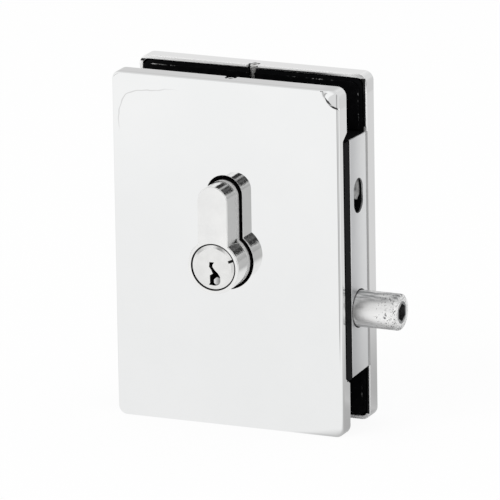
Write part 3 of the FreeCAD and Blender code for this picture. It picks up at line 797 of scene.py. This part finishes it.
strip_foot = 53.0 * mm
strip_top = 53.8 * mm
strip_slope = 0.01
strip_fades_from = 20.0 * mm
strip_fades_to = 34.0 * mm
bend_line = 37.05 * mm
bend_line_foot = -34.0 * mm
bend_line_full = -18.0 * mm
steel_clear = (0.905, 0.91, 0.91, 1)
steel_cloud = (0.885, 0.892, 0.892, 1)
rim_highlight_tone = grey(0.99)
crease_reflection_tone = grey(0.7)
bend_reflection_tone = grey(0.45)
front_side_shade = grey(0.8)
rear_side_shade = grey(0.76)
front_top_shade = grey(0.74)
rear_top_light = grey(0.99)
# The painted reflection of the crease and the dish are placed in millimetres from the cover's edges.
crease_side = 1.2
crease_top = 4.0
crease_turn = 12.0
crease_width = (0.05, 0.28)
crease_wander = 1.6
side_fade = (12, 24)
top_fade = (14, 20)
dish_reach = 6.5
dish_rise = 0.22 * mm
rim_highlight_at = 0.2 * mm
soft = 0.1 * mm
hair = 1e-6
touching = 1e-7

polished_steel, tree, place = new_finish("polished_steel")
across, through, height = place.parts()
cloud = grain(place, 30, 4.0)
haze = grain(place, 160, 6.0, 0.6)
ripple = grain(place, 70, 2.0, 0.4)
rear = on_rear(through)
on_right = across.smooth(0, 1 * mm)
on_upper = height.smooth(0, 1 * mm)
to_rim = abs(through) - rear.between(front_rim, rear_rim)
# A band along each rim's edge, and the rear rim's end face, are painted pale as painted highlights.
rim_highlight = 1 - abs(to_rim - rim_highlight_at).smooth(rim_highlight_at / 2, rim_highlight_at)
rim_end_highlight = (1 - to_rim.smooth(0.01 * mm, 0.05 * mm)) * rear
rim_highlights = tree.math("MAXIMUM", rim_highlight, rim_end_highlight)

# Parts of the rear rim's end face are painted black.
rim_blacked = (1 - to_rim.smooth(blacked_depth - 0.05 * mm, blacked_depth)) * rear
rim_blacked = rim_blacked * across.smooth(blacked_left, blacked_left + soft)
beyond_notch = height.smooth(notch_top, notch_top + soft) + 1 - height.smooth(notch_foot - soft, notch_foot)
rim_blacked = rim_blacked * beyond_notch
rim_blacked = rim_blacked * (1 - across.smooth(blacked_right, blacked_right + soft))
rim_blacked = rim_blacked * height.smooth(blacked_foot, blacked_foot + soft)
rim_blacked = rim_blacked * (1 - height.smooth(blacked_top, blacked_top + soft))
lift = (across + blacked_left) * strip_slope
strip = rim_end_highlight * (1 - (height - lift).smooth(strip_top, strip_top + soft))
strip = strip * height.smooth(strip_foot, strip_foot + soft)
strip = strip * (1 - across.smooth(strip_fades_from, strip_fades_to))
rim_blacked = tree.math("MAXIMUM", rim_blacked, strip)

to_side = (cover_half_width - abs(across)) / mm
to_top = (cover_half_height - abs(height)) / mm
# A painted reflection of a crease runs across the front cover's top left corner.
inward = to_side - crease_side
downward = to_top - crease_top
wander = grain(place, 260, 1.0) * crease_wander - crease_wander / 2
from_corner = tree.math("SQRT", inward * inward + downward * downward + 0.01)
off_crease = (inward * downward - crease_turn) / from_corner + wander
crease_reflection = 1 - abs(off_crease).smooth(*crease_width)
crease_reflection = crease_reflection * inward.smooth(0.0, 0.4) * downward.smooth(0.0, 0.3)
crease_reflection = crease_reflection * (1 - to_side.smooth(*side_fade)) * (1 - to_top.smooth(*top_fade))
crease_reflection = crease_reflection * (1 - across.smooth(-1 * mm, 0)) * on_upper * (1 - rear)
to_corner = tree.math("SQRT", to_side * to_side + to_top * to_top)
dish = tree.math("MAXIMUM", dish_reach - to_corner, 0.0)
pressed = dish * dish * dish_rise * on_right * on_upper

on_top = height.smooth(cover_half_height - 0.4 * mm, cover_half_height - 0.05 * mm)
on_side = across.smooth(cover_half_width - 0.4 * mm, cover_half_width - 0.05 * mm)
# A painted dark reflection runs along the front cover's face by its right bend.
bend_reflection = (1 - abs(across - bend_line).smooth(0.08 * mm, 0.26 * mm)) * (1 - rear)
bend_reflection = bend_reflection * height.smooth(bend_line_foot, bend_line_full)
bend_reflection = bend_reflection * abs(through).smooth(cover_face - 0.3 * mm, cover_face - 0.1 * mm)
tone = cloud.smooth(0.3, 0.7).tint(steel_cloud, steel_clear)
tone = crease_reflection.tint(tone, crease_reflection_tone)
tone = bend_reflection.tint(tone, bend_reflection_tone)
# The side and top walls are painted darker as painted shade, and the rear top wall lighter as painted
# light.
tone = on_side.tint(tone, rear.tint(front_side_shade, rear_side_shade))
tone = on_top.tint(tone, rear.tint(front_top_shade, rear_top_light))
lay_on(
    tree,
    rim_blacked.tint(rim_highlights.tint(tone, rim_highlight_tone), coat_and_shade_black),
    0.012 + haze * 0.02 + rim_highlight * 0.25 + rim_end_highlight * 0.5,
    (1 - rim_highlight * 0.35) * (1 - rim_end_highlight),
    relief(ripple * 0.004 * mm - pressed, 1.0),
    Specular_IOR_Level=0.3,
)


def cut_out_points(steps=40):
    """The keyhole outline of the cylinder, grown by the gap, as places in the face's plane."""
    big = barrel_radius + cut_out_gap
    small = slim_radius + cut_out_gap
    join = math.asin(small / big)
    points = []
    for i in range(2 * steps + 1):
        angle = math.pi / 2 + join + (2 * math.pi - 2 * join) * i / (2 * steps)
        points.append((barrel_middle.x + big * math.cos(angle), barrel_middle.z + big * math.sin(angle)))
    for i in range(steps + 1):
        angle = math.pi * i / steps
        points.append((barrel_middle.x + small * math.cos(angle), slim_arc_z + small * math.sin(angle)))
    return points


def pierce(mesh, face, places):
    """Fills a flat face again around a hole whose outline is given."""
    rim = list(face.edges)
    bmesh.ops.delete(mesh, geom=[face], context="FACES_ONLY")
    fill(mesh, rim + ring_of_edges(mesh, places))


def grub_slot(mesh, wall, cover_rim, z, steps=20):
    """Cuts a slot with a round end into an end wall, from the edge of its rim."""
    border = list(wall.edges)
    lip = max(border, key=lambda e: e.verts[0].co.y + e.verts[1].co.y)
    lip_left, lip_right = sorted(lip.verts, key=lambda v: v.co.x)
    bmesh.ops.delete(mesh, geom=[wall], context="FACES_ONLY")
    places = [(-grub_hole_radius, -cover_rim, z)]
    for i in range(steps + 1):
        turn = math.pi * i / steps
        x = -grub_hole_radius * math.cos(turn)
        places.append((x, -grub_hole_y - grub_hole_radius * math.sin(turn), z))
    places.append((grub_hole_radius, -cover_rim, z))
    verts = [lip_left] + [mesh.verts.new(place) for place in places] + [lip_right]
    edges = [mesh.edges.new(pair) for pair in zip(verts, verts[1:])]
    edges += [edge for edge in border if edge != lip]
    mesh.edges.remove(lip)
    fill(mesh, edges)


def pressed_cover(name, cover_rim, notch_depth, is_rear):
    """A cover as a pressing: a bevelled box without a back, pierced, notched, then given its wall."""
    mesh = bmesh.new()
    bmesh.ops.create_cube(mesh, size=1.0)
    depth = cover_face - cover_rim
    bmesh.ops.scale(mesh, verts=mesh.verts, vec=(2 * cover_half_width, depth, 2 * cover_half_height))
    bmesh.ops.translate(mesh, verts=mesh.verts, vec=(0, -(cover_face + cover_rim) / 2, 0))
    back = [f for f in mesh.faces if f.normal.y > 0.99]
    bmesh.ops.delete(mesh, geom=back, context="FACES_ONLY")
    corners = [e for e in mesh.edges if abs((e.verts[0].co - e.verts[1].co).y) > depth / 2]
    rounded(mesh, corners, corner_radius, 14)
    border = [e for e in mesh.edges if all(v.co.y < -cover_face + hair for v in e.verts)]
    rounded(mesh, border, bend_radius, 10)
    face = max(mesh.faces, key=lambda f: f.calc_area() * (f.normal.y < -0.99))
    pierce(mesh, face, [(x, -cover_face, z) for x, z in cut_out_points()])
    for end in (1, -1):
        walls = [f for f in mesh.faces if f.normal.z * end > 0.99]
        grub_slot(mesh, max(walls, key=lambda f: f.calc_area()), cover_rim, end * cover_half_height)
    slope = min(notch_slope, 3 * notch_depth)
    for z in (notch_top, notch_foot, notch_top + slope, notch_foot - slope):
        walls = [f for f in mesh.faces if f.normal.x > 0.99 and f.calc_area() > hair]
        geometry = list({item for f in walls for item in [f, *f.edges, *f.verts]})
        bmesh.ops.bisect_plane(mesh, geom=geometry, plane_co=(0, 0, z), plane_no=(0, 0, 1), dist=touching)
    rim = [v for v in mesh.verts if v.co.x > cover_half_width - hair and v.co.y > -cover_rim - hair]
    for vert in rim:
        if notch_foot - hair < vert.co.z < notch_top + hair:
            vert.co.y -= notch_depth
    bmesh.ops.recalc_face_normals(mesh, faces=mesh.faces)
    mesh.normal_update()
    bmesh.ops.solidify(mesh, geom=mesh.faces[:], thickness=cover_sheet)
    bmesh.ops.remove_doubles(mesh, verts=mesh.verts, dist=touching)
    rounded(mesh, [e for e in mesh.edges if e.calc_face_angle(0) > 1], edge_radius, 3)
    if is_rear:
        turn_to_rear(mesh)
    smooth_by_angle(mesh)
    cover = new_piece(name, mesh)
    cover.data.materials.append(polished_steel)
    keep_flats_flat(cover)
    return cover


front_cover = pressed_cover("front_cover_pressing", front_rim, front_notch, False)
fit(front_cover, "front_cover")
rear_cover = pressed_cover("rear_cover_pressing", rear_rim, rear_notch, True)
fit(rear_cover, "rear_cover")

# Four long grub screws lock the covers from above and below. They are zinc-plated steel with a
# rolled thread and a hexagon socket, and show through the slots in the clamp plates.
grub_top = 54.6 * mm
grub_length = 8.0 * mm
grub_cad_radius = 1.47 * mm
grub_core_radius = 1.2 * mm
thread_start = 0.15 * mm
thread_root = 0.05 * mm
thread_half = 0.22 * mm
thread_pitch = 0.5 * mm
thread_turns = 15
steps_a_turn = 20
thread_dull = (0.62, 0.62, 0.61, 1)
thread_clear = (0.9, 0.9, 0.89, 1)

bright_thread, tree, place = new_finish("bright_thread")
cloud = grain(place, 700, 4.0)
fine = grain(place, 4000, 2.0)
lay_on(
    tree,
    cloud.smooth(0.3, 0.7).tint(thread_dull, thread_clear),
    0.26 + cloud * 0.14,
    0.8,
    relief(fine, 0.004 * mm),
)


def grub_screws(node, name, y):
    """The copy of two CAD screws, thinned to the thread's core, with a helical thread on each."""
    mesh = loose_copy(node)
    thin = grub_core_radius / grub_cad_radius
    about = Matrix.Translation((0, -y, 0))
    bmesh.ops.scale(mesh, verts=mesh.verts, vec=(thin, thin, 1), space=about)
    for end in (1, -1):
        low = min(end * grub_top, end * (grub_top - grub_length)) + thread_start
        profile = [
            (grub_core_radius - thread_root, low),
            (grub_cad_radius, low + thread_half),
            (grub_core_radius - thread_root, low + 2 * thread_half),
        ]
        verts = [mesh.verts.new((x, y, z)) for x, z in profile]
        edges = [mesh.edges.new(pair) for pair in zip(verts, verts[1:])]
        bmesh.ops.spin(
            mesh,
            geom=verts + edges,
            cent=(0, y, 0),
            axis=(0, 0, 1),
            dvec=(0, 0, thread_pitch / steps_a_turn),
            angle=math.tau * thread_turns,
            steps=thread_turns * steps_a_turn,
            use_merge=False,
        )
    bmesh.ops.recalc_face_normals(mesh, faces=mesh.faces)
    smooth_by_angle(mesh, 35)
    piece = refinished(mesh, name, bright_thread)
    fit(piece, node)


grub_screws("front_grub_screws", "front_cover_grubs", -grub_hole_y)
grub_screws("rear_grub_screws", "rear_cover_grubs", grub_hole_y)

# The works inside keep their CAD shapes. Pins are turned brass under nickel-plated caps, springs and
# clips are drawn wire, the cam and clutch are sintered steel, and the screws, the guide pin and the
# detent are plated or ground steel.
works = {
    "turned_brass": ((0.50, 0.34, 0.11, 1), (0.80, 0.62, 0.28, 1), 0.22),
    "spring_wire": ((0.30, 0.30, 0.31, 1), grey(0.62), 0.28),
    "sintered_steel": ((0.20, 0.20, 0.205, 1), grey(0.42), 0.45),
    "plated_screw": ((0.48, 0.48, 0.47, 1), (0.74, 0.74, 0.72, 1), 0.27),
}


def works_finish(name, dull, clear, gloss):
    """Turned or drawn metal: clouded colour with fine lines round the cylinder's axis."""
    finish, tree, place = new_finish(name)
    cloud = grain(place, 500, 4.0)
    lines = grain(place, 3800, 2.0, 0.6, (0.2, 1, 0.2))
    pits = grain(place, 2400, 3.0, 0.7)
    lay_on(
        tree,
        (cloud * 0.7 + lines * 0.3).smooth(0.32, 0.66).tint(dull, clear),
        gloss + cloud * 0.14,
        1.0,
        relief(lines * 0.6 + pits * 0.4, 0.006 * mm),
    )
    return finish


finishes = {name: works_finish(name, *look) for name, look in works.items()}
finish_of_node = {
    "bolt_guide_pin": "plated_screw",
    "detent_body": "plated_screw",
    "detent_ball": "plated_screw",
    "detent_spring": "spring_wire",
    "front_pin_springs": "spring_wire",
    "rear_pin_springs": "spring_wire",
    "cam": "sintered_steel",
    "clutch": "sintered_steel",
    "front_plug_clip": "spring_wire",
    "rear_plug_clip": "spring_wire",
    "cylinder_screw": "plated_screw",
    "clamp_screws": "plated_screw",
    "case_screws": "plated_screw",
}
for name, node in frame["nodes"].items():
    if not node.hide_render:
        for holder in node.material_slots:
            holder.material = finishes[finish_of_node.get(name, "turned_brass")]
for name in ("front_pin_caps", "rear_pin_caps"):
    for holder in frame["nodes"][name].material_slots:
        holder.material = satin_nickel
